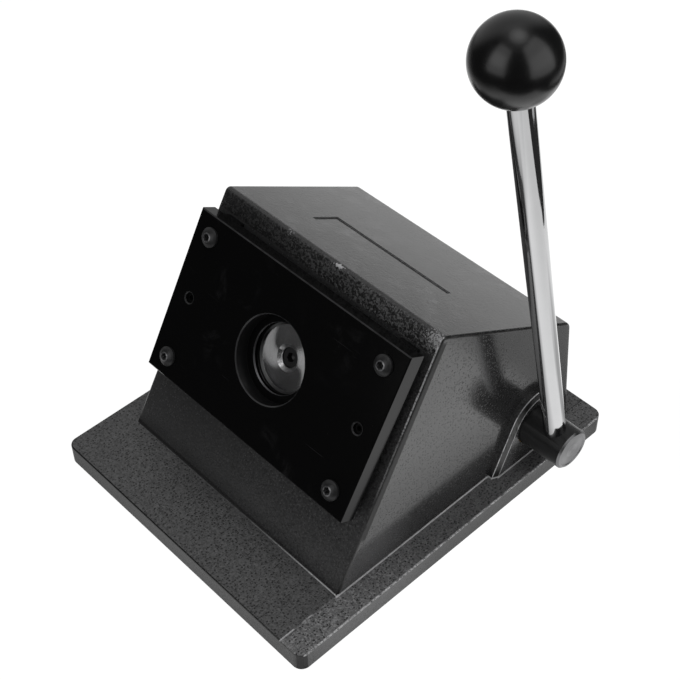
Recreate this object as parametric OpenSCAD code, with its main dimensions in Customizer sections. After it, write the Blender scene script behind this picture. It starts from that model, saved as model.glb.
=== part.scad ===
// Circle badge cutter for a desk top.
// A cast wedge housing stands on a wide flange. Its slanted front carries a die
// plate on two spacer strips, and a cross-shaft behind the punch is turned by a
// hand lever. An involute cam on the shaft drives the ram and the punch.
// The front faces -Y, the lever stands on the +X side and Z points up.
// Origin: middle of the base footprint, on the surface under the mat.
// All lengths are in millimetres.

/* [Base] */
// Width of the base flange, left to right
base_w = 205; // [200:1:215]
// Depth of the base flange, front to back
base_d = 245; // [240:1:255]
// Thickness of the base flange
base_t = 13; // [12:0.5:15]
// Radius of the flange corners, seen from above
base_corner = 6; // [5:0.5:12]
// Rounding along the upper edge of the flange
base_edge = 1; // [1:0.5:4]
// Thickness of the rubber mat under the flange
foot_h = 3; // [2:0.5:5]
// Drop of the right-hand strip of the flange, left by the mould
strip_drop = 0.4; // [0.2:0.1:0.8]

/* [Housing] */
// Lean of the front face away from the vertical, in degrees
tilt = 30; // [28:0.5:31]
// Distance from the front of the flange to the foot of the front face
front_set = 40.3; // [38:0.1:43]
// Length of the front face, up the slope
front_len = 159; // [157:0.5:163]
// Height of the punch axis above the foot of the front face, up the slope
axis_up = 97; // [96:0.5:98]
// Length of the top face, front to back
top_len = 120; // [118:0.5:122]
// Width of the housing at its foot
body_w = 174.5; // [173:0.5:176]
// Draft of the side walls, in degrees
side_draft = 1.6; // [1:0.1:2]
// Draft of the back wall, in degrees
back_draft = 4; // [3:0.5:5.5]
// Rounding of the front edges of the housing
edge_r = 3; // [2.5:0.5:4.5]
// Rounding of the rear edges of the housing
rear_r = 7; // [4:0.5:8]
// Rounding where the side walls meet the other faces
side_r = 1.6; // [1:0.2:2.4]
// Thickness of the cast walls
wall = 8; // [7:0.5:9]
// Thickness of the front wall
front_wall = 12; // [11:0.5:13]
// Depth of the bevel round the face of the shaft bosses
boss_edge = 2; // [0.8:0.1:2.4]
// Width of that bevel
boss_bevel = 3.6; // [2:0.2:3.8]
// Width of the bare recess in the top face
recess_w = 89; // [70:1:110]
// Depth of that recess, front to back
recess_l = 22; // [15:1:28]
// Depth of that recess into the metal
recess_t = 0.7; // [0.4:0.1:1.2]

/* [Die set] */
// Width of the die plate
plate_w = 161; // [158:1:164]
// Height of the die plate, up the slope
plate_h = 100; // [98:1:104]
// Thickness of the die plate
plate_t = 10.5; // [9.5:0.5:12]
// Bevel along the outer edges of the die plate
plate_edge = 0.6; // [0.3:0.1:1]
// Thickness of the spacer strips behind the die plate
spacer_t = 5.5; // [5:0.5:6.5]
// Width of the spacer strips
spacer_w = 12.4; // [11:0.2:14]
// Diameter of the disc that is cut
cut_d = 40; // [39:0.5:42]
// Diameter of the relief bore in front of the cutting land
relief_d = 49.2; // [48:0.2:54]
// Length of the cutting land
land_t = 1.5; // [1:0.5:4]
// Width of the sheet slot between the guide plate and the die plate
slot_t = 2; // [1.6:0.1:2.4]
// Half distance between the left and right die screws
screw_x = 67.5; // [66.5:0.5:68.5]
// Half distance between the upper and lower die screws
screw_z = 38; // [36:0.5:40]
// Diameter of the die screw heads
head_d = 11.4; // [10:0.2:12]
// Diameter of the dowel pins
dowel_d = 6; // [5:0.5:6]

/* [Drive] */
// Diameter of the cross-shaft
shaft_d = 25; // [24:0.5:26]
// Distance from the front face of the housing back to the shaft axis
shaft_back = 118; // [116:0.5:119]
// Outer end of the cross-shaft
shaft_end = 120.5; // [118:0.5:122]
// Turn of the lever, in degrees
lever_turn = 75; // [60:1:78]
// Travel of the punch
stroke = 10; // [8:0.5:10.5]
// Cam height under the wear pad at rest
cam_low = 24; // [23:0.5:25]
// Width of the cam
cam_w = 16; // [12:1:20]
// Gap between the cam and the wear pad
cam_gap = 0.3; // [0.3:0.05:0.5]
// Radial running clearance of shaft, ram and punch
run_gap = 0.05; // [0.03:0.01:0.08]

/* [Lever] */
// Lean of the lever towards the front at rest, in degrees
lever_lean = 13; // [8:0.5:18]
// Distance from the shaft axis to the middle of the ball
lever_len = 291; // [250:1:320]
// Sideways place of the lever
lever_x = 108.5; // [107:0.5:110]
// Diameter of the lever rod
rod_d = 12.7; // [11:0.1:13]
// Diameter of the ball knob
ball_d = 40; // [36:1:45]

/* [Hidden] */
$fn = 64;
top_z = foot_h + base_t;
axis_y = -base_d / 2 + front_set + axis_up * sin(tilt);
axis_z = top_z + axis_up * cos(tilt);
up = front_len - axis_up;
back_y = axis_y + top_len * cos(tilt) + up * sin(tilt);
back_z = axis_z - top_len * sin(tilt) + up * cos(tilt);
shaft_y = axis_y + shaft_back * cos(tilt);
shaft_z = axis_z - shaft_back * sin(tilt);
shaft_r = shaft_d / 2;
cut_r = cut_d / 2;
punch_r = cut_r - run_gap;
plate_front = -spacer_t - plate_t;
guide_front = -spacer_t + slot_t;
guide_back = 5;
guide_w = 2 * (screw_x - spacer_w / 2) - 4.6;
guide_h = 84;
punch_face = guide_front + 1.7;
punch_back = 16;
ram_r = 14;
tube_r = 26;
tube_end = 50;
flange_r = 24;
flange_at = 78;
pad_at = shaft_back - cam_low - cam_gap;
pad_r = 14;
lift = stroke / (lever_turn * PI / 180);
boss_r = 21.3;
boss_x = 92;
boss_back = 3;
boss_toe = 34.5;
boss_heel = 25;
bush_r = 15.5;
hub_r = 18.5;
cavity_x = body_w / 2 - wall - 4;
cover_t = 2;
cover_x = 84;
cover_front = -base_d / 2 + 37;
cover_back = base_d / 2 - 20;
collar_x = cavity_x - 22;
collar_w = 9;

// Half width of the housing at height z
function half_w(z) = body_w / 2 - (z - top_z) * tan(side_draft);
// Point of the die set frame in the (y, z) plane
function slant(a, b) = [axis_y + a * cos(tilt) + b * sin(tilt), axis_z - a * sin(tilt) + b * cos(tilt)];
// Place on the line at depth a behind the front face, at height z
function at_height(a, z) = slant(a, (z - axis_z + a * sin(tilt)) / cos(tilt));
// Flank of the involute cam: contact height grows evenly with the turn t in degrees
function cam_h(t) = cam_low + lift * t * PI / 180;
function cam_pt(t) = [cam_h(t) * cos(t) - lift * sin(t), -cam_h(t) * sin(t) - lift * cos(t)];

// Frame of the die set: y runs into the machine along the punch axis, z runs up the front face
module slanted() translate([0, axis_y, axis_z]) rotate([-tilt, 0, 0]) children();
module at_shaft() translate([0, shaft_y, shaft_z]) children();
module at_lever() translate([lever_x, shaft_y, shaft_z]) rotate([lever_lean, 0, 0]) children();
module ycyl(a, b, r, r2 = -1) translate([0, a, 0]) rotate([-90, 0, 0]) cylinder(h = b - a, r1 = r, r2 = r2 < 0 ? r : r2);
module xcyl(a, b, r, r2 = -1) translate([a, 0, 0]) rotate([0, 90, 0]) cylinder(h = b - a, r1 = r, r2 = r2 < 0 ? r : r2);
module hex(af, h) rotate([0, 0, 30]) cylinder(h = h, r = af / 2 / cos(30), $fn = 6);
module four(x, z) for (sx = [-1, 1], sz = [-1, 1]) translate([sx * x, 0, sz * z]) children();
module sides() for (s = [0, 1]) mirror([s, 0, 0]) children();

module rounded_slab(w, d, t, corner, edge) hull() for (sx = [-1, 1], sy = [-1, 1])
  translate([sx * (w / 2 - corner), sy * (d / 2 - corner), 0]) rotate_extrude($fn = 48) {
    square([corner - edge, t]);
    square([corner, t - edge]);
    translate([corner - edge, t - edge]) intersection() { circle(r = edge, $fn = 32); square(edge + 1); }
  }

module flange() difference() {
  translate([0, 0, foot_h]) rounded_slab(base_w, base_d, base_t, base_corner, base_edge);
  translate([body_w / 2 - 0.8, -base_d, top_z - strip_drop]) cube([base_w, 2 * base_d, 10]);
}

// Corner of the casting: radius r in the (y, z) plane, radius e where it turns into the side wall
module knuckle(r, e) rotate([0, 90, 0]) rotate_extrude($fn = 48) intersection() {
  translate([r - e, 0]) circle(r = e, $fn = 32);
  translate([0, -e]) square([r, 2 * e]);
}

module wedge() {
  low = top_z - 7;
  low_r = 4;
  front_low = at_height(edge_r, low);
  front_top = slant(edge_r, up - edge_r);
  back_top = slant(top_len - rear_r / tan((180 - tilt * 2 + back_draft) / 2), up - rear_r);
  back_low = [back_y + (back_z - low) * tan(back_draft) - low_r / cos(back_draft), low];
  hull() for (p = [[front_low, edge_r, side_r], [front_top, edge_r, side_r], [back_top, rear_r, side_r], [back_low, low_r, side_r]], s = [-1, 1])
    translate([s * (half_w(p[0][1]) - p[2]), p[0][0], p[0][1]]) knuckle(p[1], p[2]);
}

// Lean of a straight flank that leaves the round top of a shaft boss and stands at the given reach on the flange
function flank_lean(reach) = atan2(reach, shaft_z - top_z) - asin(boss_r / norm([reach, shaft_z - top_z]));
// Reach of that flank a little under the top of the flange, on a round top of radius r
function flank_reach(r, lean) = (r + (shaft_z - top_z + 4) * sin(lean)) / cos(lean);

// Outline of a shaft boss in the (y, z) plane: a round top, a front flank that spreads to the flange and a steep rear flank
module boss_outline(inset) {
  r = boss_r - inset;
  a = flank_lean(boss_toe);
  b = flank_lean(boss_heel);
  low = top_z - shaft_z - 4;
  translate([shaft_y + boss_back, shaft_z]) {
    circle(r = r, $fn = 96);
    polygon([[-flank_reach(r, a), low], [-r * cos(a), r * sin(a)], [r * cos(b), r * sin(b)], [flank_reach(r, b), low]]);
  }
}

module boss() hull() {
  translate([cavity_x - 12, 0, 0]) rotate([90, 0, 90]) linear_extrude(height = boss_x - boss_edge - cavity_x + 12) boss_outline(0);
  translate([boss_x - 0.02, 0, 0]) rotate([90, 0, 90]) linear_extrude(height = 0.02) boss_outline(boss_bevel);
}

module cavity() {
  inner_top = up - wall;
  f0 = at_height(front_wall, -1);
  f1 = slant(front_wall, inner_top);
  by = back_y - wall;
  bz = slant((by - axis_y - inner_top * sin(tilt)) / cos(tilt), inner_top)[1];
  translate([-cavity_x, 0, 0]) rotate([90, 0, 90]) linear_extrude(height = 2 * cavity_x)
    polygon([f0, f1, [by, bz], [by, -1]]);
}

module housing() color([0.16, 0.16, 0.17]) {
  difference() {
    union() {
      flange();
      difference() {
        union() { wedge(); sides() boss(); }
        cavity();
      }
      difference() {
        union() {
          slanted() ycyl(front_wall - 2, tube_end, tube_r);
          sides() intersection() {
            at_shaft() xcyl(cavity_x - 12, cavity_x + 3, boss_r);
            translate([0, -base_d / 2, top_z]) cube([base_w, base_d, 200]);
          }
        }
        translate([-base_w, -base_d, -1]) cube([2 * base_w, 2 * base_d, foot_h + 1]);
      }
    }
    intersection() {
      cavity();
      translate([-base_w, -base_d, -2]) cube([2 * base_w, 2 * base_d, top_z + 2.01]);
    }
    slanted() {
      ycyl(guide_back - 1, 20, cut_r + 0.6);
      ycyl(19, tube_end + 1, 18);
      translate([-guide_w / 2 - 0.15, -1, -guide_h / 2 - 0.15]) cube([guide_w + 0.3, guide_back + 1, guide_h + 0.3]);
      four(screw_x, screw_z) ycyl(-1, 11, 3);
      for (s = [-1, 1]) translate([s * screw_x, 0, 0]) ycyl(-1, 10, dowel_d / 2);
      four(guide_w / 2 - 8, guide_h / 2 - 8) ycyl(guide_back - 1, 11, 2.5);
      translate([-recess_w / 2, 33, up - recess_t]) cube([recess_w, recess_l, 5]);
    }
    at_shaft() sides() {
      xcyl(cavity_x - 13, boss_x - 3, bush_r);
      xcyl(boss_x - 3.5, boss_x + 1, shaft_r + 0.8);
    }
    translate([-cover_x - 0.2, cover_front - 0.2, foot_h - 1]) cube([2 * cover_x + 0.4, cover_back - cover_front + 0.4, cover_t + 1]);
    cover_places() translate([0, 0, foot_h]) cylinder(h = 11, r = 2);
  }
}

module guide_plate() color([0.12, 0.12, 0.13]) slanted() difference() {
  translate([-guide_w / 2, guide_front, -guide_h / 2]) cube([guide_w, guide_back - guide_front, guide_h]);
  ycyl(guide_front - 1, guide_back + 1, cut_r);
  four(guide_w / 2 - 8, guide_h / 2 - 8) { ycyl(guide_front - 1, guide_back + 1, 2.5); ycyl(guide_front, guide_front + 2.7, 5.2, 2.5); }
}

module guide_screws() color([0.3, 0.3, 0.32]) slanted() four(guide_w / 2 - 8, guide_h / 2 - 8) difference() {
  union() { ycyl(guide_front, guide_front + 2.7, 5.2, 2.5); ycyl(guide_front, 11, 2.5); }
  translate([0, guide_front - 1, 0]) rotate([-90, 0, 0]) hex(3, 3);
}

module spacer_strips() color([0.25, 0.25, 0.26]) slanted() for (s = [-1, 1]) difference() {
  translate([s * screw_x - spacer_w / 2, -spacer_t, -plate_h / 2 + 1]) cube([spacer_w, spacer_t, plate_h - 2]);
  for (z = [-screw_z, screw_z]) translate([s * screw_x, 0, z]) ycyl(-spacer_t - 1, 1, 3);
  translate([s * screw_x, 0, 0]) ycyl(-spacer_t - 1, 1, dowel_d / 2);
}

module die_plate() color([0.05, 0.05, 0.055]) slanted() difference() {
  translate([-plate_w / 2, plate_front, -plate_h / 2]) cube([plate_w, plate_t, plate_h]);
  ycyl(plate_front - 1, -spacer_t + 1, cut_r);
  ycyl(plate_front - 1, -spacer_t - land_t, relief_d / 2);
  ycyl(plate_front - 0.1, plate_front + 0.7, relief_d / 2 + 0.8, relief_d / 2);
  four(screw_x, screw_z) ycyl(plate_front - 1, -spacer_t + 1, 3);
  for (s = [-1, 1]) translate([s * screw_x, 0, 0]) {
    ycyl(plate_front - 1, -spacer_t + 1, dowel_d / 2);
    ycyl(plate_front - 0.1, plate_front + 0.5, dowel_d / 2 + 0.6, dowel_d / 2);
  }
  for (s = [-1, 1]) {
    translate([s * plate_w / 2, plate_front, 0]) rotate([0, 0, 45]) cube([plate_edge * sqrt(2), plate_edge * sqrt(2), 2 * plate_h], center = true);
    translate([0, plate_front, s * plate_h / 2]) rotate([45, 0, 0]) cube([2 * plate_w, plate_edge * sqrt(2), plate_edge * sqrt(2)], center = true);
    translate([0, -spacer_t, s * plate_h / 2]) rotate([45, 0, 0]) cube([2 * plate_w, plate_edge * sqrt(2), plate_edge * sqrt(2)], center = true);
  }
}

module die_screws() color([0.2, 0.2, 0.21]) slanted() four(screw_x, screw_z) difference() {
  union() {
    translate([0, plate_front, 0]) rotate([90, 0, 0]) intersection() {
      cylinder(h = 3.8, r = head_d / 2);
      translate([0, 0, 3.8 - 7.75]) sphere(r = 7.75);
    }
    ycyl(plate_front, 11, 3);
  }
  translate([0, plate_front - 3.9, 0]) rotate([-90, 0, 0]) hex(4, 2.6);
}

module dowel_pins() color([0.35, 0.35, 0.36]) slanted() for (s = [-1, 1]) translate([s * screw_x, 0, 0])
  difference() { ycyl(plate_front + 1.8, 10, dowel_d / 2); ycyl(plate_front + 1.7, plate_front + 5, 1.4); }

module shaft_bushes() color([0.7, 0.55, 0.3]) at_shaft() sides() difference() {
  xcyl(cavity_x - 12.5, boss_x - 3, bush_r);
  xcyl(cavity_x - 14, boss_x, shaft_r + run_gap);
}

module ram_bush() color([0.7, 0.55, 0.3]) slanted() difference() {
  ycyl(22, tube_end, 18);
  ycyl(21, tube_end + 1, ram_r + run_gap);
}

// Coil of round wire along z with flat closed ends left open
module coil(r, wire, length, turns) {
  n = 24; m = 10;
  steps = n * turns;
  pts = [for (i = [0:steps], j = [0:m - 1])
    let (a = i * 360 / n, q = j * 360 / m, rr = r + wire / 2 * cos(q))
      [rr * cos(a), rr * sin(a), wire / 2 + (length - wire) * i / steps + wire / 2 * sin(q)]];
  side = [for (i = [0:steps - 1], j = [0:m - 1])
    [i * m + j, i * m + (j + 1) % m, (i + 1) * m + (j + 1) % m, (i + 1) * m + j]];
  cap0 = [[for (j = [m - 1:-1:0]) j]];
  cap1 = [[for (j = [0:m - 1]) steps * m + j]];
  polyhedron(points = pts, faces = concat(cap0, side, cap1), convexity = 8);
}

module return_spring() color([0.6, 0.6, 0.62]) slanted() translate([0, tube_end + 0.05, 0]) rotate([-90, 0, 0])
  coil(20.6, 3, flange_at - tube_end - 0.4, 5);

module bottom_cover() color([0.3, 0.3, 0.31]) difference() {
  translate([-cover_x, cover_front, foot_h]) cube([2 * cover_x, cover_back - cover_front, cover_t]);
  cover_places() { translate([0, 0, foot_h - 1]) cylinder(h = cover_t + 2, r = 2); translate([0, 0, foot_h]) cylinder(h = 1.8, r1 = 3.8, r2 = 2); }
}

module cover_places() for (sx = [-1, 1], y = [cover_front + 4.5, (cover_front + cover_back) / 2, cover_back - 4.5])
  translate([sx * (cover_x - 4.5), y, 0]) children();

module cover_screws() color([0.35, 0.35, 0.36]) cover_places() translate([0, 0, foot_h]) difference() {
  union() { cylinder(h = 1.8, r1 = 3.8, r2 = 2); cylinder(h = 11, r = 2); }
  translate([0, 0, -1]) hex(2.5, 2.4);
}

module base_mat() color([0.06, 0.06, 0.06]) difference() {
  linear_extrude(height = foot_h) difference() {
    square([base_w - 8, base_d - 8], center = true);
    for (sx = [-1, 1], sy = [-1, 1]) translate([sx * (base_w / 2 - 4), sy * (base_d / 2 - 4)]) rotate(45) square(8, center = true);
  }
  translate([-cover_x - 2, cover_front - 2, -1]) cube([2 * cover_x + 4, cover_back - cover_front + 4, foot_h + 2]);
}

module punch() color([0.75, 0.75, 0.77]) slanted() difference() {
  ycyl(punch_face, punch_back, punch_r);
  ycyl(punch_face - 0.01, punch_face + 0.8, punch_r - 0.2, punch_r - 1.6);
  ycyl(punch_face + 0.7, punch_face + 2.6, 8, 6.1);
  ycyl(punch_face, punch_face + 9, 5.7);
  ycyl(0, punch_back + 1, 4);
}

module punch_screw() color([0.2, 0.2, 0.21]) slanted() difference() {
  union() { ycyl(punch_face + 3.4, punch_face + 9, 5.4); ycyl(punch_face + 8, 38, 4); }
  translate([0, punch_face + 3.3, 0]) rotate([-90, 0, 0]) hex(5, 3.5);
  ycyl(punch_face + 6.7, punch_face + 8.1, 2.4, 0);
}

module ram() color([0.55, 0.55, 0.57]) slanted() difference() {
  union() { ycyl(punch_back, flange_at + 1, ram_r); ycyl(flange_at, flange_at + 8, flange_r); ycyl(flange_at + 7, pad_at - 4, 17); }
  ycyl(punch_back - 1, 38, 4);
  ycyl(flange_at, pad_at, 5);
}

module wear_pad() color([0.65, 0.65, 0.67]) slanted() { ycyl(pad_at - 4, pad_at, pad_r); ycyl(flange_at, pad_at - 3, 5); }

module drive_shaft() color([0.28, 0.28, 0.29]) at_shaft() difference() {
  union() {
    xcyl(1 - boss_x, shaft_end - 1.2, shaft_r);
    xcyl(shaft_end - 1.2, shaft_end, shaft_r, shaft_r - 1.2);
  }
  translate([lever_x, 0, 0]) rotate([lever_lean, 0, 0]) translate([0, 0, -7]) cylinder(h = 30, r = rod_d / 2);
  translate([0, 0, -30]) cylinder(h = 60, r = 3);
  sides() translate([collar_x + collar_w / 2, 0, 6]) cylinder(h = 30, r = 2.5);
  xcyl(shaft_end - 0.3, shaft_end + 1, 9.9, 11.2);
}

module cam() color([0.5, 0.5, 0.52]) at_shaft() difference() {
  union() {
    xcyl(-cam_w / 2, cam_w / 2, hub_r);
    translate([-cam_w / 2, 0, 0]) rotate([90, 0, 90]) linear_extrude(height = cam_w) rotate(180 - tilt)
      polygon(concat([[0, 0]], [for (t = [-6:3:lever_turn + 6]) cam_pt(t)]));
  }
  xcyl(-cam_w, cam_w, shaft_r);
  translate([0, 0, -30]) cylinder(h = 60, r = 3);
}

module cam_pin() color([0.6, 0.6, 0.62]) at_shaft() translate([0, 0, -17.5]) cylinder(h = 35, r = 3);

module shaft_collars() color([0.45, 0.45, 0.47]) at_shaft() sides() difference() {
  xcyl(collar_x, collar_x + collar_w, 20);
  xcyl(collar_x - 1, collar_x + collar_w + 1, shaft_r);
  translate([collar_x + collar_w / 2, 0, 0]) cylinder(h = 30, r = 2.5);
}

module collar_screws() color([0.2, 0.2, 0.21]) at_shaft() sides() translate([collar_x + collar_w / 2, 0, 6]) difference() {
  cylinder(h = 13, r = 2.5);
  translate([0, 0, 10.5]) hex(2.5, 4);
}

module lever_rod() color([0.85, 0.85, 0.87]) at_lever() {
  translate([0, 0, -7]) cylinder(h = lever_len - ball_d / 2 + 10, r = rod_d / 2);
  translate([0, 0, lever_len - ball_d / 2 + 2]) cylinder(h = 16, r = 4);
}

module ball_knob() color([0.03, 0.03, 0.03]) at_lever() translate([0, 0, lever_len]) difference() {
  sphere(r = ball_d / 2, $fn = 96);
  translate([0, 0, -ball_d]) cylinder(h = ball_d / 2 + 1.2, r = ball_d);
  translate([0, 0, -ball_d]) cylinder(h = ball_d / 2 + 3, r = rod_d / 2 + 0.15);
  translate([0, 0, -ball_d / 2 + 2]) cylinder(h = 17, r = 6.5);
}

module knob_insert() color([0.75, 0.6, 0.3]) at_lever() translate([0, 0, lever_len]) difference() {
  translate([0, 0, -ball_d / 2 + 3.05]) cylinder(h = 15.9, r = 6.5);
  translate([0, 0, -ball_d / 2]) cylinder(h = 18, r = 4);
}

housing();
guide_plate();
guide_screws();
spacer_strips();
die_plate();
die_screws();
dowel_pins();
shaft_bushes();
ram_bush();
return_spring();
bottom_cover();
cover_screws();
base_mat();
punch();
punch_screw();
ram();
wear_pad();
drive_shaft();
cam();
cam_pin();
shaft_collars();
collar_screws();
lever_rod();
ball_knob();
knob_insert();
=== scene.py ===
import math

import bpy
from mathutils import Matrix, Vector


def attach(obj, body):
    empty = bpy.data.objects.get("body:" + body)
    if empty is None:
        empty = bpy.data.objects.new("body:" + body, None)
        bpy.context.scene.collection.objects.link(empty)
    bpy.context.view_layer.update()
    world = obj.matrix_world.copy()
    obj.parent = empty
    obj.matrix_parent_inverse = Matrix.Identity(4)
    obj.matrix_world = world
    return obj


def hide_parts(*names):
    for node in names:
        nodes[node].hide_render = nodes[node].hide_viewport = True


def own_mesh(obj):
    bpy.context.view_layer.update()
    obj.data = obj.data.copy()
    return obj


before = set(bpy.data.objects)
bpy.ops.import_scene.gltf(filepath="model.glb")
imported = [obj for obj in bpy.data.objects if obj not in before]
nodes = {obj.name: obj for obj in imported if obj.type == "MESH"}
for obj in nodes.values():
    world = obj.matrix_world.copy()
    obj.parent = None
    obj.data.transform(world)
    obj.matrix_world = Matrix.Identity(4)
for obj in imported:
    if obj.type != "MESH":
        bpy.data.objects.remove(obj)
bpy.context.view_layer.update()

# ---------------------------------------------------------------- the die set frame, in millimetres
LEAN = math.radians(30)
ZERO = (0.0, -33.7, 100.0045)                       # punch axis where it meets the front face
INTO = (0.0, math.cos(LEAN), -math.sin(LEAN))       # along the punch axis, into the machine
UPHILL = (0.0, math.sin(LEAN), math.cos(LEAN))      # up the front face
OUT = tuple(-v for v in INTO)                       # straight out of the front face
SHAFT = (0.0, 68.491, 41.0045)


# ---------------------------------------------------------------- material helper
class Mat:
    """One node material. Lengths in its helpers are millimetres of the piece's own frame."""

    def __init__(self, name, **constants):
        self.m = bpy.data.materials.new(name)
        self.m.use_nodes = True
        self.t = self.m.node_tree
        self.p = self.t.nodes["Principled BSDF"]
        for k, v in constants.items():
            self.p.inputs[k.replace("_", " ")].default_value = v
        tex = self.new("TexCoord")
        self.mm = self.vec("SCALE", tex.outputs["Object"], scale=1000.0)
        s = self.new("SeparateXYZ")
        self.put(s.inputs[0], self.mm)
        self.x, self.y, self.z = s.outputs

    def new(self, kind, **props):
        n = self.t.nodes.new("ShaderNode" + kind)
        for k, v in props.items():
            setattr(n, k, v)
        return n

    def put(self, socket, value):
        if isinstance(value, bpy.types.NodeSocket):
            self.t.links.new(value, socket)
        elif value is not None:
            socket.default_value = value

    def set(self, name, value):
        self.put(self.p.inputs[name], value)

    def vec(self, op, a, b=None, scale=None):
        n = self.new("VectorMath", operation=op)
        self.put(n.inputs[0], a)
        self.put(n.inputs[1], b)
        if scale is not None:
            self.put(n.inputs["Scale"], scale)
        return n.outputs["Value"] if op in ("DOT_PRODUCT", "LENGTH", "DISTANCE") else n.outputs["Vector"]

    def num(self, op, a, b=None, c=None, clamp=False):
        n = self.new("Math", operation=op, use_clamp=clamp)
        for i, v in enumerate((a, b, c)):
            self.put(n.inputs[i], v)
        return n.outputs[0]

    def add(self, a, b): return self.num("ADD", a, b)
    def sub(self, a, b): return self.num("SUBTRACT", a, b)
    def mul(self, a, b): return self.num("MULTIPLY", a, b)
    def top(self, a, b): return self.num("MAXIMUM", a, b)

    def step(self, v, lo, hi, a=0.0, b=1.0):
        n = self.new("MapRange", interpolation_type="SMOOTHSTEP")
        for i, s in enumerate((v, lo, hi, a, b)):
            self.put(n.inputs[i], s)
        return n.outputs[0]

    def near(self, v, at, half, soft):
        """1 where v is within half of at, falling to 0 over soft."""
        return self.step(self.num("ABSOLUTE", self.sub(v, at)), half, half + soft, 1.0, 0.0)

    def band(self, v, lo, hi, soft):
        return self.mul(self.step(v, lo - soft, lo), self.step(v, hi, hi + soft, 1.0, 0.0))

    def noise(self, size, detail=2.0, rough=0.5, vec=None, twist=0.0):
        n = self.new("TexNoise")
        self.put(n.inputs["Vector"], vec or self.mm)
        self.put(n.inputs["Scale"], 1.0 / size)
        self.put(n.inputs["Detail"], detail)
        self.put(n.inputs["Roughness"], rough)
        self.put(n.inputs["Distortion"], twist)
        return n.outputs[0]

    def cells(self, size, vec=None, smooth=None):
        n = self.new("TexVoronoi", feature="SMOOTH_F1" if smooth else "F1", voronoi_dimensions="2D" if vec else "3D")
        self.put(n.inputs["Vector"], vec or self.mm)
        self.put(n.inputs["Scale"], 1.0 / size)
        if smooth:
            self.put(n.inputs["Smoothness"], smooth)
        s = self.new("SeparateColor")
        self.put(s.inputs[0], n.outputs["Color"])
        return n.outputs["Distance"], s.outputs[0]

    def stretch(self, sx, sy, sz, turn=(0, 0, 0)):
        n = self.new("Mapping")
        self.put(n.inputs["Vector"], self.mm)
        n.inputs["Rotation"].default_value = [math.radians(a) for a in turn]
        n.inputs["Scale"].default_value = (1.0 / sx, 1.0 / sy, 1.0 / sz)
        return n.outputs[0]

    def grey(self, v, tint=(1.0, 1.0, 1.0)):
        n = self.new("CombineColor")
        for i in range(3):
            self.put(n.inputs[i], self.mul(v, tint[i]) if isinstance(v, bpy.types.NodeSocket) else v * tint[i])
        return n.outputs[0]

    def blend(self, f, a, b):
        n = self.new("Mix", data_type="FLOAT")
        self.put(n.inputs[0], f)
        self.put(n.inputs[2], a)
        self.put(n.inputs[3], b)
        return n.outputs[0]

    def tint(self, f, a, b):
        n = self.new("Mix", data_type="RGBA")
        self.put(n.inputs[0], f)
        self.put(n.inputs[6], a)
        self.put(n.inputs[7], b)
        return n.outputs[2]

    def bump(self, height_mm, strength=1.0, after=None):
        n = self.new("Bump")
        n.inputs["Strength"].default_value = strength
        n.inputs["Distance"].default_value = 0.001
        self.put(n.inputs["Height"], height_mm)
        self.put(n.inputs["Normal"], after)
        self.t.links.new(n.outputs[0], self.p.inputs["Normal"])
        return n.outputs[0]

    def die(self):
        """Place in the die set frame: across, into the machine, up the slope."""
        d = self.vec("SUBTRACT", self.mm, ZERO)
        return self.x, self.vec("DOT_PRODUCT", d, INTO), self.vec("DOT_PRODUCT", d, UPHILL)

    def hypot(self, a, b):
        return self.num("SQRT", self.add(self.mul(a, a), self.mul(b, b)))

    def radial(self, centre, axis):
        """Vector from the axis out to the point, and its length."""
        d = self.vec("SUBTRACT", self.mm, centre)
        along = self.vec("SCALE", axis, scale=self.vec("DOT_PRODUCT", d, axis))
        out = self.vec("SUBTRACT", d, along)
        return out, self.vec("LENGTH", out)

    def turned(self, out):
        """Brushed round an axis: the gloss stretches along the radius."""
        t = self.new("VectorTransform", vector_type="VECTOR", convert_from="OBJECT", convert_to="WORLD")
        self.put(t.inputs[0], self.vec("NORMALIZE", out))
        self.put(self.p.inputs["Tangent"], t.outputs[0])

    def swirl(self, out, axis, turn):
        """Ground in arcs: the brushing turns against the radius by the angle turn, in radians."""
        e = self.vec("NORMALIZE", out)
        side = self.vec("CROSS_PRODUCT", axis, e)
        t = self.vec("ADD", self.vec("SCALE", e, scale=self.num("COSINE", turn)),
                     self.vec("SCALE", side, scale=self.num("SINE", turn)))
        w = self.new("VectorTransform", vector_type="VECTOR", convert_from="OBJECT", convert_to="WORLD")
        self.put(w.inputs[0], t)
        self.put(self.p.inputs["Tangent"], w.outputs[0])

    def facing(self, direction):
        g = self.new("NewGeometry")
        return self.vec("DOT_PRODUCT", g.outputs["Normal"], direction)


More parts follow.
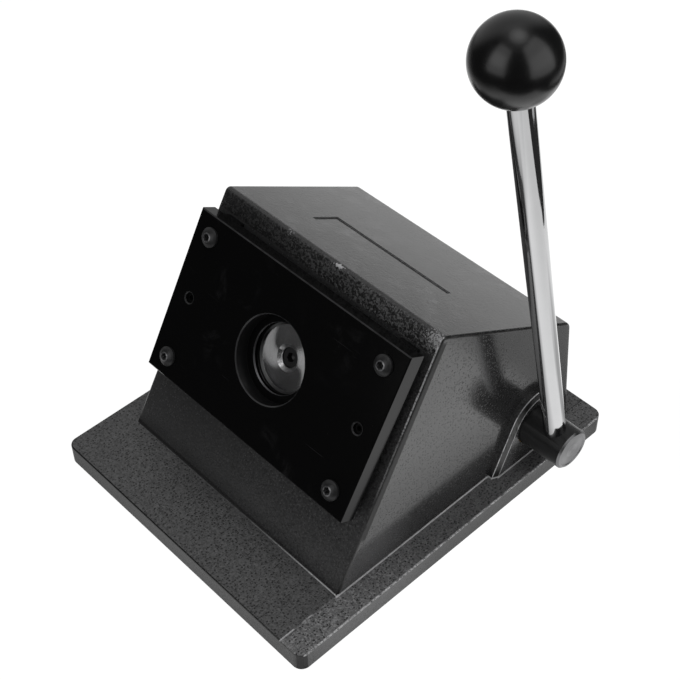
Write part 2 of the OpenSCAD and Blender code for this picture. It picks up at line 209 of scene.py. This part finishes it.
# ---------------------------------------------------------------- materials
def hammertone():
    m = Mat("hammertone_paint", IOR=1.6)
    x, y, z = m.die()
    right = m.facing((1, 0, 0))
    fore = m.facing(OUT)
    flat_top = m.step(m.facing(UPHILL), 0.96, 0.995)
    front = m.step(fore, 0.6, 0.9)
    wall = m.step(m.num("ABSOLUTE", right), 0.85, 0.97)
    flange = m.mul(m.step(m.z, 17.5, 18.5, 1.0, 0.0), m.step(m.facing((0, 0, 1)), 0.9, 0.98))
    strip = m.mul(flange, m.step(m.x, 86.3, 86.7))
    over = m.mul(front, m.step(z, 49.5, 50.5))
    # small craters of two sizes, laid out on each face, and the shallow dimples between them
    flat = m.new("CombineXYZ")
    m.put(flat.inputs[0], m.blend(wall, m.x, m.y))
    upright = m.step(m.num("ABSOLUTE", m.facing((0, 1, 0))), 0.75, 0.9)
    m.put(flat.inputs[1], m.blend(wall, m.blend(flat_top, m.blend(front, m.blend(upright, m.y, m.z), z), y), m.z))
    d1, r1 = m.cells(2.1, flat.outputs[0])
    d2, r2 = m.cells(1.35, flat.outputs[0])
    big = m.mul(m.step(d1, 0.16, 0.32, 1.0, 0.0), m.step(r1, 0.30, 0.75))
    small = m.mul(m.step(d2, 0.16, 0.36, 1.0, 0.0), m.step(r2, 0.45, 0.80))
    some = m.blend(flat_top, m.blend(front, m.blend(wall, 1.0, 0.5), 0.30), 0.10)
    pits = m.mul(m.top(big, m.mul(small, 0.8)), some)
    dimple, _ = m.cells(1.8, smooth=0.5)
    peel = m.noise(2.6, 2.0)
    grain = m.noise(0.55, 1.0)
    cloud = m.noise(26.0, 3.0)
    mottle = m.sub(m.noise(1.4, 3.0, 0.65), 0.5)
    leather = m.step(m.noise(1.65, 3.0, 0.6, twist=0.9), 0.47, 0.62)
    stain = m.mul(m.step(m.noise(11.0, 5.0, 0.65, twist=0.5), 0.44, 0.66), m.step(m.noise(48.0, 1.0), 0.36, 0.60, 0.25, 1.0))
    # bare metal: knocks on the front top edge, a rubbed right-hand front edge, a rubbed corner
    speck = m.noise(1.5, 3.0, 0.65)
    fine = m.noise(1.1, 3.0, 0.7)
    chip_at = m.vec("LENGTH", m.vec("MULTIPLY", m.vec("SUBTRACT", m.mm, (7.9, -2.46, 152.47)), (0.26, 0.7, 0.7)))
    chip = m.step(m.add(chip_at, m.mul(m.sub(speck, 0.5), 2.6)), 0.72, 0.86, 1.0, 0.0)
    knock = m.mul(m.step(m.vec("DISTANCE", m.mm, (-30.0, -2.5, 152.5)), 1.5, 3.0, 1.0, 0.0), m.step(fine, 0.56, 0.62))
    run = m.mul(m.mul(m.step(z, 2.0, 9.0, 0.25, 0.85), m.step(z, -36.0, -28.0)), m.step(m.noise(3.4, 2.0), 0.26, 0.44))
    line = m.mul(m.band(right, 0.06, 0.46, 0.05), m.step(fore, 0.5, 0.6))
    rub = m.mul(m.mul(m.mul(line, run), m.step(m.x, 70.0, 74.0)), m.step(fine, 0.38, 0.52, 0.16, 0.95))
    corner = m.vec("LENGTH", m.vec("MULTIPLY", m.vec("SUBTRACT", m.mm, (80.6, -4.3, 150.4)), (0.55, 1.0, 1.0)))
    worn = m.step(m.add(fine, m.mul(m.step(corner, 1.0, 9.0, 1.0, 0.0), 0.30)), 0.70, 0.80)
    worn = m.mul(m.mul(worn, m.step(corner, 7.0, 12.0, 1.0, 0.0)), m.step(right, 0.45, 0.6, 1.0, 0.0))
    bare = m.top(m.top(chip, rub), m.top(m.mul(worn, 0.6), m.mul(knock, 0.7)))
    # painted shade: darker, rougher paint on the rounded right-hand front edge and on the side walls just behind the
    # front face
    shade = m.mul(m.band(right, 0.45, 0.985, 0.03), m.step(fore, 0.10, 0.14))
    shade = m.top(shade, m.mul(m.mul(m.band(y, 1.5, 4.0, 0.8), m.step(right, 0.9, 0.97)), m.band(z, -60.0, 57.0, 3.0)))
    # painted shade: darker paint along the rounded top front edge of the flange
    flange_edge_shade = m.mul(m.band(m.z, 14.5, 15.95, 0.2), m.band(m.facing((0, 0, 1)), 0.30, 0.97, 0.02))
    flange_edge_shade = m.mul(flange_edge_shade, m.step(m.y, -118.0, -120.0))
    # lighter lines, part thin paint and part painted highlight, along the creases of the casting, round the boss faces
    # and along the flange edge
    foot_z = m.near(m.z, 15.9, 0.45, 0.5)
    crease = m.mul(m.near(m.x, 87.25, 0.30, 0.35), m.band(m.y, -82.5, 45.0, 1.0))
    front_crease = m.mul(m.mul(m.near(m.y, -82.25, 0.15, 0.3), m.step(m.x, 0.0, 86.0, 0.05, 0.9)), m.step(m.x, 87.2, 87.8, 1.0, 0.0))
    strip_line = m.mul(m.near(m.x, 86.45, 0.15, 0.3), m.step(m.y, -110.0, -84.0, 1.0, 0.12))
    strip_line = m.mul(m.mul(strip_line, m.step(m.y, -83.0, -82.0, 1.0, 0.0)), m.step(m.noise(6.0, 3.0, 0.6), 0.42, 0.58, 0.08, 1.0))
    boss_foot = m.mul(m.near(m.x, 92.05, 0.2, 0.3), m.band(m.y, 41.0, 93.0, 1.0))
    toe = m.mul(m.mul(m.band(m.x, 87.4, 92.2, 0.2), m.band(m.y, 30.0, 47.0, 1.0)), m.step(m.facing((0, 0, 1)), 0.6, 0.8, 1.0, 0.0))
    at_foot = m.mul(m.top(m.top(crease, toe), m.top(front_crease, m.top(strip_line, boss_foot))), foot_z)
    bevel = m.band(m.num("ABSOLUTE", right), 0.5, 0.9, 0.05)
    ax = m.num("ABSOLUTE", m.x)
    boss_rim = m.mul(bevel, m.top(m.mul(m.near(ax, 91.90, 0.08, 0.10), 0.7), m.near(ax, 90.12, 0.10, 0.12)))
    lip = m.mul(m.mul(m.near(m.x, 102.1, 0.25, 0.3), m.near(m.z, 15.4, 0.5, 0.3)), m.step(m.noise(1.3, 2.0), 0.36, 0.56, 0.2, 1.0))
    thin_paint_and_glint = m.mul(m.top(boss_rim, lip), m.step(m.noise(4.0, 3.0, 0.6), 0.30, 0.54, 0.15, 1.0))
    thin_paint_and_glint = m.top(thin_paint_and_glint, m.mul(at_foot, m.step(m.noise(3.0, 3.0, 0.6), 0.26, 0.50, 0.6, 1.0)))
    # the paint's tone differs per face by how each is lit: lighter on the flange top and the front face as painted
    # light, darker on the band above the die plate as painted shade; faint stains lighten the top
    face_lit_tone = m.blend(flange, m.blend(over, m.blend(front, 0.021, 0.038), 0.013), 0.065)
    face_lit_tone = m.add(face_lit_tone, m.mul(m.mul(stain, flat_top), 0.06))
    lower = m.mul(front, m.step(z, 49.5, 50.5, 1.0, 0.0))
    rippled = m.add(m.mul(flange, 0.22), m.mul(lower, m.step(m.x, -60.0, 70.0, 0.03, 0.13)))
    paint = m.num("MAXIMUM", m.add(m.add(face_lit_tone, m.mul(grain, 0.010)), m.mul(mottle, rippled)), 0.006)
    # painted shade: the front face darkened along its foot just above the flange
    paint = m.mul(paint, m.sub(1.0, m.mul(m.mul(lower, m.band(m.z, 15.0, 17.6, 1.2)), 0.55)))
    # painted highlight: lighter paint on the step wall of the recess in the top face
    recess_wall_highlight = m.mul(m.band(y, 32.5, 55.5, 0.2), m.step(m.num("ABSOLUTE", m.x), 45.0, 45.5, 1.0, 0.0))
    recess_wall_highlight = m.mul(m.mul(recess_wall_highlight, m.sub(1.0, flat_top)), m.step(z, 61.60, 61.75, 1.0, 0.0))
    paint = m.blend(recess_wall_highlight, paint, 0.24)
    paint = m.add(paint, m.mul(m.mul(over, leather), m.step(m.x, -70.0, 60.0, 0.012, 0.10)))
    # lighter paint on the flange strip, with painted shade darkening it towards the back
    paint = m.add(paint, m.mul(m.mul(strip, m.add(0.05, m.mul(leather, 0.13))), m.step(m.y, -85.0, 10.0, 1.0, 0.30)))
    # painted shade: darker, leathery paint on the bevel round the boss face
    paint = m.mul(paint, m.blend(bevel, 1.0, m.add(0.15, m.mul(leather, 0.7))))
    paint = m.add(paint, m.mul(m.mul(m.near(m.x, 92.0, 0.05, 0.05), m.step(m.y, 46.0, 60.0, 1.0, 0.0)), 0.045))
    # painted reflection of the floor: a lighter patch with grain on the lower front of the side walls
    dust_and_sheen = m.mul(m.mul(wall, m.step(m.z, 30.0, 62.0, 1.0, 0.0)), m.step(m.y, -62.0, -12.0, 1.0, 0.0))
    paint = m.add(paint, m.mul(dust_and_sheen, m.add(0.035, m.mul(grain, 0.05))))
    paint = m.mul(m.blend(pits, paint, 0.004), m.add(0.8, m.mul(cloud, 0.4)))
    # darken the paint where the painted shade falls on the edges, then lay on the lighter lines of thin paint and
    # painted highlight
    paint = m.blend(thin_paint_and_glint, m.mul(paint, m.blend(m.top(shade, flange_edge_shade), 1.0, 0.3)), 0.56)
    m.set("Base Color", m.tint(bare, m.grey(paint, (1.0, 1.0, 1.015)), (0.56, 0.56, 0.57, 1.0)))
    m.set("Metallic", m.mul(bare, 0.8))
    rough = m.add(m.blend(pits, m.blend(flange, m.blend(bevel, m.blend(shade, 0.125, 0.62), 0.28), 0.40), 0.6), m.mul(cloud, 0.05))
    m.set("Roughness", m.blend(bare, rough, m.add(0.30, m.mul(speck, 0.2))))
    amount = m.blend(flat_top, m.blend(front, m.blend(wall, 1.0, 0.22), 0.30), 0.28)
    height = m.mul(m.add(m.mul(peel, 0.06), m.mul(dimple, 0.07)), amount)
    height = m.add(height, m.mul(m.mul(mottle, m.top(flange, lower)), 0.10))
    height = m.add(height, m.mul(m.mul(leather, m.top(over, strip)), 0.06))
    m.bump(m.sub(m.sub(height, m.mul(pits, m.blend(wall, 0.14, 0.05))), m.mul(bare, 0.05)))
    return m.m


def black_oxide(name, edges=False):
    m = Mat(name, IOR=1.27 if edges else 1.42)
    x, y, z = m.die()
    smear = m.mul(m.step(m.noise(17.0, 5.0, 0.62, twist=0.6), 0.55, 0.76), m.step(m.noise(60.0, 1.0), 0.42, 0.62))
    line1 = m.step(m.noise(1.0, 1.0, vec=m.stretch(34.0, 0.35, 0.5, (20, 12, 31))), 0.74, 0.80)
    line2 = m.step(m.noise(1.0, 1.0, vec=m.stretch(0.4, 0.5, 26.0, (0, 38, 8))), 0.75, 0.81)
    lines = m.mul(m.top(line1, line2), m.step(m.noise(22.0, 1.0), 0.52, 0.64))
    grain = m.noise(0.5, 2.0)
    tone = m.add(m.add(0.0026, m.mul(grain, 0.0010)), m.add(m.mul(smear, 0.007), m.mul(lines, 0.014)))
    metal = 0.0
    rough = m.add(m.add(0.13, m.mul(grain, 0.05)), m.add(m.mul(smear, 0.16), m.mul(lines, 0.2)))
    if edges:
        rub = m.step(m.noise(7.0, 3.0), 0.30, 0.62, 0.35, 1.0)
        # lighter front top and bottom chamfers: part wear, part painted highlight
        worn_rim_glint = m.step(m.num("ABSOLUTE", z), 49.25, 49.45)
        worn_rim_glint = m.mul(m.mul(worn_rim_glint, m.step(y, -15.3, -15.5, 0.0, 1.0)), rub)
        r = m.hypot(x, z)
        in_bore = m.step(r, 25.4, 25.5, 1.0, 0.0)
        # painted highlight on the chamfer round the mouth of the bore
        mouth_glint = m.mul(m.band(r, 24.66, 25.28, 0.03), m.band(y, -15.97, -15.2, 0.02))
        relief = m.mul(m.band(r, 24.4, 24.64, 0.05), m.step(y, -15.35, -15.25))
        step_face = m.mul(m.band(r, 20.1, 24.4, 0.05), m.near(y, -7.0, 0.05, 0.05))
        land = m.mul(m.step(r, 20.03, 20.08, 1.0, 0.0), m.step(y, -7.05, -7.0))
        turn = m.new("CombineXYZ")
        m.put(turn.inputs[0], y)
        groove = m.noise(0.35, 2.0, vec=turn.outputs[0])
        pin = m.hypot(m.sub(m.num("ABSOLUTE", x), 67.5), z)
        # painted highlight on the chamfers of the dowel pin holes
        pin_hole_glint = m.mul(m.band(pin, 3.0, 3.7, 0.1), m.step(y, -15.2, -15.4))
        tone = m.add(m.add(tone, m.mul(worn_rim_glint, 0.028)), m.add(m.mul(mouth_glint, 0.04), m.mul(pin_hole_glint, 0.028)))
        tone = m.blend(relief, tone, m.add(0.005, m.mul(groove, 0.010)))
        tone = m.blend(step_face, tone, 0.004)
        tone = m.blend(land, tone, m.add(0.18, m.mul(groove, 0.10)))
        metal = m.mul(land, 0.9)
        rough = m.blend(m.mul(m.top(land, relief), in_bore), rough, m.add(0.24, m.mul(groove, 0.12)))
    m.set("Base Color", m.grey(tone, (1.0, 1.0, 1.04)))
    m.set("Metallic", metal)
    m.set("Roughness", rough)
    m.bump(m.add(m.mul(m.noise(0.35, 2.0, vec=m.stretch(6.0, 0.35, 0.35)), 0.0015), m.mul(lines, -0.004)))
    return m.m


def screw_steel(name, centres=None, axis=INTO, worn=2.6):
    m = Mat(name, IOR=1.5, Metallic=0.55)
    grain = m.noise(0.45, 3.0, 0.6)
    blot = m.noise(3.2, 3.0)
    tone = m.add(0.018, m.mul(blot, 0.022))
    ring = 0.0
    if centres == "die":
        x, y, z = m.die()
        r = m.hypot(m.sub(m.num("ABSOLUTE", x), 67.5), m.sub(m.num("ABSOLUTE", z), 38.0))
        ring = m.mul(m.mul(m.band(r, 2.15, worn, 0.35), m.step(m.noise(1.6, 2.0), 0.30, 0.6, 0.4, 1.0)), m.step(y, -17.0, -17.3))
        tone = m.add(tone, m.mul(ring, 0.16))
        # painted shade: darker inside the hex socket
        tone = m.mul(tone, m.step(r, 1.8, 2.1, 0.25, 1.0))
    m.set("Base Color", m.grey(tone, (1.0, 1.0, 1.03)))
    m.set("Roughness", m.add(m.add(0.30, m.mul(grain, 0.16)), m.mul(ring, -0.08) if centres else 0.0))
    m.bump(m.mul(grain, 0.012))
    return m.m


def bright_steel(name, base=0.56, rough=0.27, size=1.6, tint=(1.0, 1.0, 1.015)):
    m = Mat(name, Metallic=1.0)
    streak = m.noise(size, 3.0, 0.6, vec=m.stretch(9.0, 0.4, 0.4))
    blot = m.noise(8.0, 3.0)
    m.set("Base Color", m.grey(m.add(base - 0.10, m.add(m.mul(streak, 0.12), m.mul(blot, 0.08))), tint))
    m.set("Roughness", m.add(rough - 0.05, m.mul(streak, 0.14)))
    m.bump(m.mul(streak, 0.004))
    return m.m


def ground_punch():
    m = Mat("ground_punch_steel", Metallic=1.0, Anisotropic=1.0)
    out, r = m.radial(ZERO, INTO)
    x, y, z = m.die()
    m.swirl(out, INTO, m.step(r, 9.0, 18.4, math.radians(-5), math.radians(-34)))
    ring = m.new("CombineXYZ")
    m.put(ring.inputs[0], r)
    fine = m.noise(0.16, 2.0, vec=ring.outputs[0])
    broad = m.noise(1.3, 2.0, vec=ring.outputs[0])
    blot = m.noise(5.0, 3.0)
    bevel = m.step(r, 18.33, 18.4)
    tone = m.add(m.add(0.54, m.mul(fine, 0.10)), m.add(m.mul(broad, 0.08), m.mul(blot, 0.08)))
    # painted shade: the edge chamfer of the punch darkened
    tone = m.mul(tone, m.blend(bevel, 1.0, 0.10))
    m.set("Base Color", m.grey(tone, (1.0, 1.0, 1.01)))
    m.set("Roughness", m.add(m.blend(bevel, 0.235, 0.30), m.mul(fine, 0.012)))
    m.bump(m.mul(m.mul(fine, m.step(y, 0.4, 1.2, 1.0, 0.0)), 0.0003))
    return m.m


def shaft_steel():
    m = Mat("dark_shaft_steel", IOR=1.5, Anisotropic=0.8)
    out, r = m.radial(SHAFT, (1.0, 0.0, 0.0))
    m.turned(out)
    end = m.step(m.x, 119.2, 119.4)
    ring = m.new("CombineXYZ")
    m.put(ring.inputs[0], r)
    m.put(ring.inputs[1], m.mul(m.x, 0.4))
    fine = m.noise(0.22, 2.0, vec=ring.outputs[0])
    broad = m.noise(1.5, 2.0, vec=ring.outputs[0])
    blot = m.noise(6.0, 4.0, 0.6)
    groove = m.band(r, 9.9, 10.3, 0.15)
    dark = m.add(0.008, m.add(m.mul(blot, 0.013), m.mul(fine, 0.008)))
    light = m.mul(m.add(0.10, m.add(m.mul(broad, 0.12), m.mul(fine, 0.06))), m.blend(groove, 1.0, 1.2))
    light = m.mul(light, m.blend(m.step(r, 11.3, 11.6), 1.0, 0.8))
    m.set("Base Color", m.grey(m.blend(end, dark, light), (1.0, 1.0, 1.02)))
    m.set("Metallic", m.blend(end, 0.35, 1.0))
    m.set("Roughness", m.add(m.blend(end, 0.30, 0.30), m.mul(blot, 0.12)))
    m.bump(m.mul(fine, 0.004))
    return m.m


def chrome():
    m = Mat("chrome_plate", Metallic=1.0)
    haze = m.noise(14.0, 4.0, 0.6)
    hair = m.step(m.noise(1.0, 1.0, vec=m.stretch(0.25, 0.25, 16.0, (13, 0, 0))), 0.70, 0.80)
    spot = m.step(m.noise(2.4, 2.0), 0.79, 0.83)
    # painted shade on the rod where it meets the shaft
    foot_shade = m.step(m.vec("DISTANCE", m.mm, (108.5, 65.7, 53.2)), 7.0, 12.0, 1.0, 0.0)
    tone = m.sub(m.add(0.51, m.mul(haze, 0.05)), m.add(m.mul(spot, 0.12), m.mul(foot_shade, 0.06)))
    m.set("Base Color", m.grey(tone, (1.0, 1.003, 1.012)))
    m.set("Roughness", m.add(m.add(0.035, m.mul(haze, 0.05)), m.add(m.mul(hair, 0.05), m.mul(spot, 0.15))))
    m.bump(m.add(m.mul(hair, -0.0008), m.mul(haze, 0.004)))
    return m.m


def phenolic():
    m = Mat("phenolic_black", IOR=1.52)
    swirl = m.noise(9.0, 4.0, 0.6, twist=1.2)
    haze = m.noise(3.0, 3.0)
    hair = m.step(m.noise(1.0, 1.0, vec=m.stretch(11.0, 0.22, 0.3, (35, 20, 50))), 0.74, 0.80)
    m.set("Base Color", m.grey(m.add(0.0035, m.add(m.mul(swirl, 0.002), m.mul(hair, 0.010))), (1.0, 1.0, 1.03)))
    m.set("Roughness", m.add(m.add(0.20, m.mul(swirl, 0.06)), m.add(m.mul(haze, 0.03), m.mul(hair, 0.10))))
    m.bump(m.add(m.mul(swirl, 0.02), m.mul(hair, -0.001)))
    return m.m


def bronze(name, axis, tint):
    m = Mat(name, Metallic=1.0)
    out, r = m.radial(SHAFT if axis[0] else ZERO, axis)
    blot = m.noise(4.0, 4.0, 0.6)
    ring = m.new("CombineXYZ")
    m.put(ring.inputs[0], m.vec("DOT_PRODUCT", m.mm, axis))
    m.put(ring.inputs[1], r)
    turn = m.noise(0.3, 2.0, vec=ring.outputs[0])
    m.set("Base Color", m.tint(m.step(blot, 0.35, 0.7), (*tint, 1.0), tuple(c * 0.62 for c in tint) + (1.0,)))
    m.set("Roughness", m.add(0.28, m.add(m.mul(turn, 0.12), m.mul(blot, 0.10))))
    m.bump(m.mul(turn, 0.006))
    return m.m


def sheet_paint():
    m = Mat("satin_sheet_paint", IOR=1.5)
    peel = m.noise(1.1, 3.0)
    cloud = m.noise(30.0, 3.0)
    rub = m.step(m.noise(1.0, 2.0, vec=m.stretch(24.0, 0.5, 0.5, (0, 0, 25))), 0.68, 0.76)
    m.set("Base Color", m.grey(m.add(m.add(0.018, m.mul(cloud, 0.010)), m.mul(rub, 0.02)), (1.0, 1.0, 1.02)))
    m.set("Roughness", m.add(0.36, m.add(m.mul(peel, 0.12), m.mul(cloud, 0.08))))
    m.bump(m.add(m.mul(peel, 0.03), m.mul(rub, -0.004)))
    return m.m


def rubber():
    m = Mat("rubber_sheet", IOR=1.5)
    grit = m.noise(0.7, 3.0, 0.6)
    dust_and_sheen = m.step(m.noise(12.0, 4.0, 0.6), 0.5, 0.75)
    m.set("Base Color", m.grey(m.add(m.add(0.012, m.mul(grit, 0.008)), m.mul(dust_and_sheen, 0.012))))
    m.set("Roughness", m.add(0.66, m.mul(grit, 0.22)))
    m.bump(m.mul(grit, 0.05))
    return m.m


paint = hammertone()
die_black = black_oxide("black_oxide_die", edges=True)
oxide = black_oxide("black_oxide_plain")
head = screw_steel("die_screw_steel", "die")
screw = screw_steel("screw_steel")
steel = bright_steel("ground_steel")
looks = {
    "housing": paint, "die_plate": die_black, "guide_plate": oxide, "spacer_strips": oxide,
    "die_screws": head, "guide_screws": screw, "cover_screws": screw, "collar_screws": screw, "punch_screw": screw,
    "dowel_pins": oxide,
    "shaft_bushes": bronze("bush_bronze", (1.0, 0.0, 0.0), (0.50, 0.31, 0.13)),
    "ram_bush": bronze("ram_bush_bronze", INTO, (0.50, 0.31, 0.13)),
    "knob_insert": bronze("insert_brass", (0.0, -math.sin(math.radians(13)), math.cos(math.radians(13))), (0.72, 0.53, 0.22)),
    "return_spring": bright_steel("spring_wire", 0.40, 0.30),
    "bottom_cover": sheet_paint(), "base_mat": rubber(),
    "punch": ground_punch(), "ram": steel, "wear_pad": steel, "cam": steel, "cam_pin": steel, "shaft_collars": steel,
    "drive_shaft": shaft_steel(), "lever_rod": chrome(), "ball_knob": phenolic(),
}
for name, look in looks.items():
    for s in nodes[name].material_slots:
        s.material = look

# ---------------------------------------------------------------- the return spring, as a copy with its own mesh carried on the frame
scene = bpy.context.scene
coil = bpy.data.objects.new("return_spring_coil", nodes["return_spring"].data.copy())
scene.collection.objects.link(coil)
for s in coil.material_slots:
    s.material = looks["return_spring"]
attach(coil, "frame")
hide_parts("return_spring")
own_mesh(coil)

# ---------------------------------------------------------------- studio
AHEAD, ASIDE = (-0.737, 0.676), (0.676, 0.737)      # along and across the line of sight, on the floor


def floor_mat(name, strength=None):
    f = Mat(name)
    f.set("Base Color", f.grey(f.add(0.05, f.mul(f.noise(400.0, 2.0), 0.01))))
    f.set("Roughness", f.add(0.8, f.mul(f.noise(3.0, 2.0), 0.1)))
    f.p.inputs["Specular IOR Level"].default_value = 0.0
    f.p.inputs["Emission Color"].default_value = (1.0, 1.0, 1.0, 1.0)
    f.set("Emission Strength", strength(f) if strength else 1.0)
    return f.m


def paper_light(f):
    """Glow of the paper in place of its lit surface: brightest a hand's breadth from the object, with painted shadow
    right at its foot, in front of it and behind its right side, dimmer to the left and far behind it.
    """
    away = f.top(f.sub(f.num("ABSOLUTE", f.x), 102.5), f.sub(f.num("ABSOLUTE", f.y), 122.5))
    # painted contact shadow: the glow drops right at the object's foot
    n = f.new("MapRange")
    for i, v in enumerate((-4.0, 40.0, 0.46, 1.14)):
        n.inputs[i + 1].default_value = v
    f.put(n.inputs[0], away)
    fade = f.add(f.step(away, 60.0, 260.0, 0.0, 0.26), f.step(away, 500.0, 1300.0, 0.0, 0.37))
    # painted shade on the paper in front of the object
    before = f.mul(f.step(f.y, -122.0, -90.0, 1.0, 0.0), f.step(away, 10.0, 90.0, 0.30, 0.15))
    aside = f.add(f.mul(f.x, 0.676), f.mul(f.y, 0.737))
    left = f.step(aside, -330.0, -60.0, 0.24, 1.0)
    # painted shadow cast by the object behind its right side
    behind = f.mul(f.mul(f.step(f.y, 105.0, 135.0, 0.0, 0.55), f.step(f.x, 95.0, 110.0)), f.step(away, 60.0, 160.0, 1.0, 0.0))
    return f.mul(f.mul(f.sub(n.outputs[0], fade), f.sub(1.0, before)), f.mul(left, f.sub(1.0, behind)))


def side_light(f):
    """A second roll far out on the right, lit more weakly."""
    aside = f.add(f.mul(f.x, 0.676), f.mul(f.y, 0.737))
    return f.step(aside, 500.0, 880.0, 0.55, 0.0)


def sheet(name, corners, height, material):
    mesh = bpy.data.meshes.new(name)
    mesh.from_pydata([(AHEAD[0] * a + ASIDE[0] * b, AHEAD[1] * a + ASIDE[1] * b, height) for a, b in corners], [], [range(len(corners))])
    mesh.materials.append(material)
    o = bpy.data.objects.new(name, mesh)
    scene.collection.objects.link(o)
    return o


# a roll of white paper under the object that widens away from the camera, on a white floor in an unlit room
paper = sheet("paper", [(-0.36, -0.32), (-0.36, 0.371), (0.45, 0.371), (1.70, 0.95), (1.70, -1.20), (1.00, -1.00), (0.20, -0.36)], 0.0, floor_mat("paper_white", paper_light))
paper.visible_camera = False
side = sheet("side_paper", [(-0.15, 0.50), (-0.15, 0.90), (0.70, 0.90), (0.70, 0.50)], -0.0003, floor_mat("side_paper_white", side_light))
side.visible_camera = False
room = sheet("floor", [(-3.0, -3.0), (-3.0, 3.0), (3.0, 3.0), (3.0, -3.0)], -0.0006, floor_mat("floor_white"))
room.visible_glossy = False
room.visible_diffuse = False


def panel(name, centre, u, v, width, height, radiance, shape="RECTANGLE"):
    u = Vector(u).normalized()
    v = Vector(v)
    v = (v - u * v.dot(u)).normalized()
    lamp = bpy.data.lights.new(name, "AREA")
    lamp.shape = shape
    lamp.size, lamp.size_y = width, height
    lamp.energy = radiance * math.pi * width * height * (1.0 if shape == "RECTANGLE" else math.pi / 4)
    o = bpy.data.objects.new(name, lamp)
    o.matrix_world = Matrix.Translation(centre) @ Matrix((u, v, u.cross(v))).transposed().to_4x4()
    o.visible_camera = False
    scene.collection.objects.link(o)
    return o


# three softboxes, each with a brighter middle
panel("front_panel", (0.0317, -0.871, 0.848), (0.9925, -0.1219, 0), (0.019, 0.159, 1.1955), 0.78, 1.307, 1.0)
panel("front_middle", (0.005, -0.84, 0.72), (0.9925, -0.1219, 0), (0.019, 0.159, 1.1955), 0.56, 0.46, 0.55)
panel("right_panel", (0.7755, 0.188, 0.83), (-0.267, 0.964, 0), (-0.236, -0.066, 1.21), 1.0, 1.388, 1.05)
panel("right_middle", (0.783, 0.190, 0.58), (-0.267, 0.964, 0), (-0.236, -0.066, 1.21), 0.80, 0.44, 0.33)
panel("top_panel", (0.115, 0.025, 1.22), (1, 0, 0), (0, 1, 0), 0.60, 0.60, 0.9, "DISK")
panel("top_middle", (0.115, 0.035, 1.20), (1, 0, 0), (0, 1, 0), 0.30, 0.30, 0.7, "DISK")

# dark room with a glow from the lit wall behind on the left; the camera itself sees white
world = bpy.data.worlds.new("room")
scene.world = world
world.use_nodes = True
wt = world.node_tree
bg = wt.nodes["Background"]
path = wt.nodes.new("ShaderNodeLightPath")
where = wt.nodes.new("ShaderNodeTexCoord")
toward = wt.nodes.new("ShaderNodeVectorMath")
toward.operation = "DOT_PRODUCT"
toward.inputs[1].default_value = (-0.75, 0.45, 0.48)
wt.links.new(where.outputs["Generated"], toward.inputs[0])
glow = wt.nodes.new("ShaderNodeMapRange")
glow.interpolation_type = "SMOOTHSTEP"
wt.links.new(toward.outputs["Value"], glow.inputs[0])
for i, v in enumerate((0.55, 0.86, 0.035, 0.52)):
    glow.inputs[i + 1].default_value = v
height = wt.nodes.new("ShaderNodeSeparateXYZ")
wt.links.new(where.outputs["Generated"], height.inputs[0])
halo = wt.nodes.new("ShaderNodeMapRange")
halo.interpolation_type = "SMOOTHSTEP"
wt.links.new(height.outputs[2], halo.inputs[0])
for i, v in enumerate((0.72, 0.97, 0.0, 0.25)):
    halo.inputs[i + 1].default_value = v
both = wt.nodes.new("ShaderNodeMath")
wt.links.new(glow.outputs[0], both.inputs[0])
wt.links.new(halo.outputs[0], both.inputs[1])
pick = wt.nodes.new("ShaderNodeMix")
pick.data_type = "FLOAT"
wt.links.new(path.outputs["Is Camera Ray"], pick.inputs[0])
wt.links.new(both.outputs[0], pick.inputs[2])
pick.inputs[3].default_value = 1.0
wt.links.new(pick.outputs[0], bg.inputs["Strength"])
bg.inputs["Color"].default_value = (1.0, 1.0, 1.0, 1.0)
scene.view_settings.view_transform = "Standard"

# ---------------------------------------------------------------- camera
az, el, roll = math.radians(47.423), math.radians(45.11), math.radians(-1.15)
back = Vector((math.sin(az) * math.cos(el), -math.cos(az) * math.cos(el), math.sin(el)))
right = (-back).cross(Vector((0, 0, 1))).normalized()
up = right.cross(-back)
cam = bpy.data.objects.new("camera", bpy.data.cameras.new("camera"))
cam.data.sensor_width = 36.0
cam.data.lens = 1408.694 * 36.0 / 680.0
rx = right * math.cos(roll) + up * math.sin(roll)
ry = -right * math.sin(roll) + up * math.cos(roll)
cam.matrix_world = Matrix.Translation(Vector((0.004375, 0.0, 0.093185)) + back * 0.780781) @ Matrix((rx, ry, back)).transposed().to_4x4()
cam.data.clip_start, cam.data.clip_end = 0.01, 20.0
scene.collection.objects.link(cam)
scene.camera = cam
